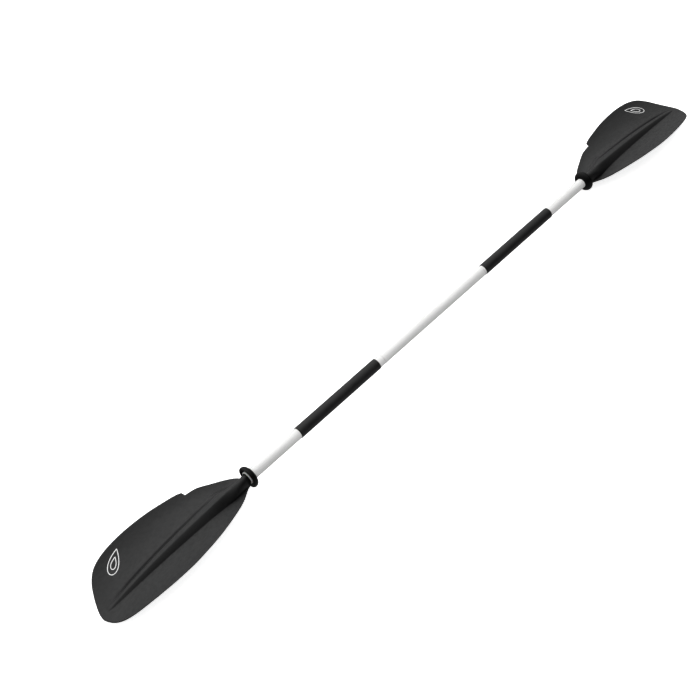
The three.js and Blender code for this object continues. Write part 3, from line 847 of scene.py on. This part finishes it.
tube_radii = (TUBE_R, BORE_R)
add_pipe(
    "tube_near",
    "shaft_tube_a",
    (-SHAFT_END, SEAM_A - SEAM_GAP / 2),
    tube_radii,
    TUBE_EDGE,
    [
        (-BLADE_BUTTON_X, BUTTON_HOLE, 0),
        (BUTTON_X["a"], BUTTON_HOLE, 0),
        (BUTTON_X["a"], BUTTON_HOLE, FEATHER_TURN),
    ],
    WHITE_TUBE,
)
add_pipe(
    "tube_middle",
    "centre_tube",
    (SEAM_A + SEAM_GAP / 2, SEAM_B - SEAM_GAP / 2),
    tube_radii,
    TUBE_EDGE,
    [(PIN_X["a"], PIN_HOLE, 0), (BUTTON_X["b"], BUTTON_HOLE, 0)],
    WHITE_TUBE,
)
add_pipe(
    "tube_far",
    "shaft_tube_b",
    (SEAM_B + SEAM_GAP / 2, SHAFT_END),
    tube_radii,
    TUBE_EDGE,
    [(PIN_X["b"], PIN_HOLE, 0), (BLADE_BUTTON_X, BUTTON_HOLE, 0)],
    WHITE_TUBE,
)
for letter in ENDS:
    seam = SEAM_X[letter]
    add_pipe(
        f"spigot_tube_{letter}",
        f"spigot_{letter}",
        (seam - SPIGOT_FREE, seam + SPIGOT_FIXED),
        (SPIGOT_R, SPIGOT_BORE_R),
        SPIGOT_EDGE,
        [(BUTTON_X[letter], BUTTON_HOLE, 0), (PIN_X[letter], PIN_HOLE, 0)],
        ALUMINIUM,
    )


def add_sleeve(letter, end):
    """A grip sleeve, with its rims rounded."""
    inner = TUBE_R + SLIDING_FIT
    corners = [(GRIP_FROM, inner), (GRIP_FROM, SLEEVE_R), (GRIP_TO, SLEEVE_R), (GRIP_TO, inner)]
    points, faces = turned(rounded(corners, SLEEVE_ROUNDING))
    stand_for(add_mesh(f"grip_{letter}", points, faces, end), f"grip_sleeve_{letter}", GRIP)


def add_spigot_plug(letter):
    """The cap on a spigot's free end: a stem inside it, a rim against it and a rounded nose."""
    end = SEAM_X[letter] - SPIGOT_FREE
    stem_r = SPIGOT_BORE_R - TIGHT_FIT
    stem_length = 12
    stem_bevel = 1
    rim = 2
    nose = 5
    nose_taper = 2.5
    bulge_at = 3.6
    bulge_taper = 0.9
    profile = [
        (end + stem_length, stem_r - stem_bevel),
        (end + stem_length - stem_bevel, stem_r),
        (end - HOLE_GAP, stem_r),
        (end - HOLE_GAP, SPIGOT_R),
        (end - rim, SPIGOT_R),
        (end - bulge_at, SPIGOT_R - bulge_taper),
        (end - nose, SPIGOT_R - nose_taper),
    ]
    piece = add_mesh(f"plug_{letter}", *turned_solid(profile))
    stand_for(piece, f"spigot_plug_{letter}", GREY_PLASTIC)


def add_pin(letter):
    """The rivet that holds a spigot in its own tube."""
    inside = SPIGOT_BORE_R - PIN_STANDS_IN
    profile = [(inside, PIN_R - PIN_BEVEL), (inside + PIN_BEVEL, PIN_R)]
    profile += [(TUBE_R - depth, PIN_R - drop) for depth, drop in PIN_HEAD]
    points, faces = turned_solid(profile, PIN_ROUND)
    piece = add_mesh(f"rivet_{letter}", pointing_down(points, PIN_X[letter]), faces)
    stand_for(piece, f"spigot_pin_{letter}", ALUMINIUM)


def add_foam(node, start, stop):
    """A foam rod with softened ends."""
    profile = [(start + along, FOAM_R - drop) for along, drop in FOAM_EDGE]
    profile += [(stop - along, FOAM_R - drop) for along, drop in reversed(FOAM_EDGE)]
    stand_for(add_mesh(f"{node}_rod", *turned_solid(profile, FOAM_ROUND)), node, FOAM)


for letter, end in ENDS.items():
    add_sleeve(letter, end)
    add_spigot_plug(letter)
    add_pin(letter)

foam_end = SHAFT_HALF - PLUG_LENGTH - FOAM_INSET
add_foam("float_foam_a", -foam_end, SEAM_A - SPIGOT_FREE - FOAM_INSET)
add_foam("float_foam_b", SEAM_B + SPIGOT_FIXED + FOAM_INSET, foam_end)
add_foam("float_foam_centre", SEAM_A + SPIGOT_FIXED + FOAM_INSET, SEAM_B - SPIGOT_FREE - FOAM_INSET)

# Snap clips ---------------------------------------------------------------------------------------------

BUTTON_DOME = [(1.2, 1), (0.7, 0.97), (0.35, 0.86), (0.12, 0.62), (0, 0.25)]  # [depth, share of radius]
BUTTON_PROFILE = [(LEAF_TOP, BUTTON_R)]
BUTTON_PROFILE += [(BUTTON_TIP - depth, BUTTON_R * share) for depth, share in BUTTON_DOME]
LEAF_STEPS = 12
BEND_STEPS = 10


def strip_along(curve, x, way):
    """A flat strip of spring steel along a curve of [distance from the button, height]."""
    points = []
    for n, (along, up) in enumerate(curve):
        before, after = curve[max(n - 1, 0)], curve[min(n + 1, len(curve) - 1)]
        run = Vector((after[0] - before[0], after[1] - before[1])).normalized()
        for side, face in ((-1, -1), (1, -1), (1, 1), (-1, 1)):
            thick = face * LEAF_THICK / 2
            place_x = x + way * (along - run.y * thick)
            points.append((place_x, side * LEAF_WIDTH / 2, up + run.x * thick))
    last = len(points) - 4
    faces = ring_faces(len(curve), 4)
    faces += [(3, 2, 1, 0), (last, last + 1, last + 2, last + 3)]
    return points, faces


def add_clip(button_node, spring_node, x, way):
    """The button riveted on its leaf, and the V bend that pushes them out."""
    level = -LEAF_TOP - LEAF_THICK / 2
    leaf = []
    for n in range(LEAF_STEPS + 1):
        leaf.append((lerp(-BUTTON_R - LEAF_PAST_BUTTON, LEAF_END, n / LEAF_STEPS), level))
    points, faces = turned_solid(BUTTON_PROFILE, BUTTON_ROUND)
    points = pointing_down(points, x)
    leaf_points, leaf_faces = strip_along(leaf, x, way)
    faces += [tuple(n + len(points) for n in face) for face in leaf_faces]
    stand_for(add_mesh(f"{button_node}_steel", points + leaf_points, faces), button_node, SPRING_STEEL)

    bend = [
        (LEAF_END + HOLE_GAP, level), (LEAF_END + 4, -8.2), (LEAF_END + 6.5, -3), (LEAF_END + 4, 4),
        (LEAF_END - 8, 8.2), (4, 9.4), (-2, 9.6),
    ]
    piece = add_mesh(f"{spring_node}_steel", *strip_along(smooth_curve(bend, BEND_STEPS), x, way))
    stand_for(piece, spring_node, SPRING_STEEL)


for letter, end in ENDS.items():
    add_clip(f"snap_button_{letter}", f"snap_spring_{letter}", BUTTON_X[letter], -1)
    add_clip(f"blade_button_{letter}", f"blade_spring_{letter}", end * BLADE_BUTTON_X, -end)

# Floor, light and camera --------------------------------------------------------------------------------

FLOOR_HALF = 60.0
FLOOR_DROP = 0.0006
# Soft lights as [place, size, power, whether it shows in reflections].
LIGHTS = {
    "key": [(-0.2, 2.2, 2.4), 3.2, 10, True],
    "fill": [(-0.2, -2.4, 1.8), 3.2, 36, False],
}
# The room's light by direction, as [share of the way from the far side to SKY_SIDE, brightness].
SKY_STEPS = [(0.0, 0.4), (0.17, 0.3), (0.33, 0.04), (0.5, 0.05), (0.75, 0.55), (1.0, 1.05)]
SKY_STRENGTH = 1.75
SKY_SIDE = (0.0, 0.74, 0.673)
FLOOR_GLOW = 0.68  # the floor is a light table, which keeps the shadows faint

CAMERA_FROM_AXIS = (-1.4759, -1.0515, 2.4237)
CAMERA_RIGHT = (0.68477, -0.72858, 0.01629)
CAMERA_UP = (0.59165, 0.56885, 0.57128)
CAMERA_FORWARD = (0.42550, 0.38156, -0.82059)
CAMERA_LENS = 61.5  # both in millimetres
CAMERA_SENSOR = 36
PRINT_GAMMA = 0.74  # below 1 gives the deep blacks of a catalogue picture


def add_floor():
    """The studio floor. It is hidden from bounced light, so it throws none on the paddle."""
    corners = [(-1, -1), (1, -1), (1, 1), (-1, 1)]
    mesh = bpy.data.meshes.new("floor")
    points = [(x * FLOOR_HALF, y * FLOOR_HALF, -FLOOR_DROP) for x, y in corners]
    mesh.from_pydata(points, [], [(0, 1, 2, 3)])
    floor = bpy.data.objects.new("floor", mesh)
    bpy.context.scene.collection.objects.link(floor)
    mesh.materials.append(floor_material())
    floor.visible_diffuse = False
    floor.visible_glossy = False


def add_sky():
    """A soft white room: brightest high on one side, dark low on the other and dim from below."""
    world = bpy.data.worlds.new("studio")
    world.use_nodes = True
    tree = world.node_tree
    direction = add_node(tree, "ShaderNodeTexCoord").outputs["Generated"]
    side = add_node(
        tree, "ShaderNodeVectorMath", {0: direction, 1: SKY_SIDE}, operation="DOT_PRODUCT"
    ).outputs["Value"]
    background = tree.nodes["Background"]
    ramp = add_node(tree, "ShaderNodeValToRGB", {"Fac": spread(tree, side, 0, 1, -1, 1)})
    steps = ramp.color_ramp.elements
    steps.remove(steps[-1])
    for n, (share, bright) in enumerate(SKY_STEPS):
        step = steps.new(share) if n else steps[0]
        step.position = share
        step.color = (bright, bright, bright, 1)
    tree.links.new(ramp.outputs["Color"], background.inputs["Color"])
    background.inputs["Strength"].default_value = SKY_STRENGTH
    bpy.context.scene.world = world


def add_light(name, spot, size, power, in_reflections):
    """A square soft light that faces the paddle's middle."""
    light = bpy.data.lights.new(name, "AREA")
    light.size = size
    light.energy = power
    lamp = bpy.data.objects.new(name, light)
    lamp.location = spot
    lamp.rotation_euler = (-Vector(spot)).to_track_quat("-Z", "Y").to_euler()
    lamp.visible_glossy = in_reflections
    bpy.context.scene.collection.objects.link(lamp)


def add_camera():
    """The camera, placed from the shaft's axis."""
    data = bpy.data.cameras.new("camera")
    data.sensor_width = CAMERA_SENSOR
    data.lens = CAMERA_LENS
    camera = bpy.data.objects.new("camera", data)
    turn = Matrix((CAMERA_RIGHT, CAMERA_UP, [-part for part in CAMERA_FORWARD])).transposed().to_4x4()
    camera.matrix_world = Matrix.Translation(AXIS + Vector(CAMERA_FROM_AXIS)) @ turn
    bpy.context.scene.collection.objects.link(camera)
    bpy.context.scene.camera = camera


add_floor()
add_sky()
for name, settings in LIGHTS.items():
    add_light(name, *settings)
add_camera()
bpy.context.scene.view_settings.view_transform = "Standard"
bpy.context.scene.view_settings.gamma = PRINT_GAMMA

bpy.context.view_layer.update()
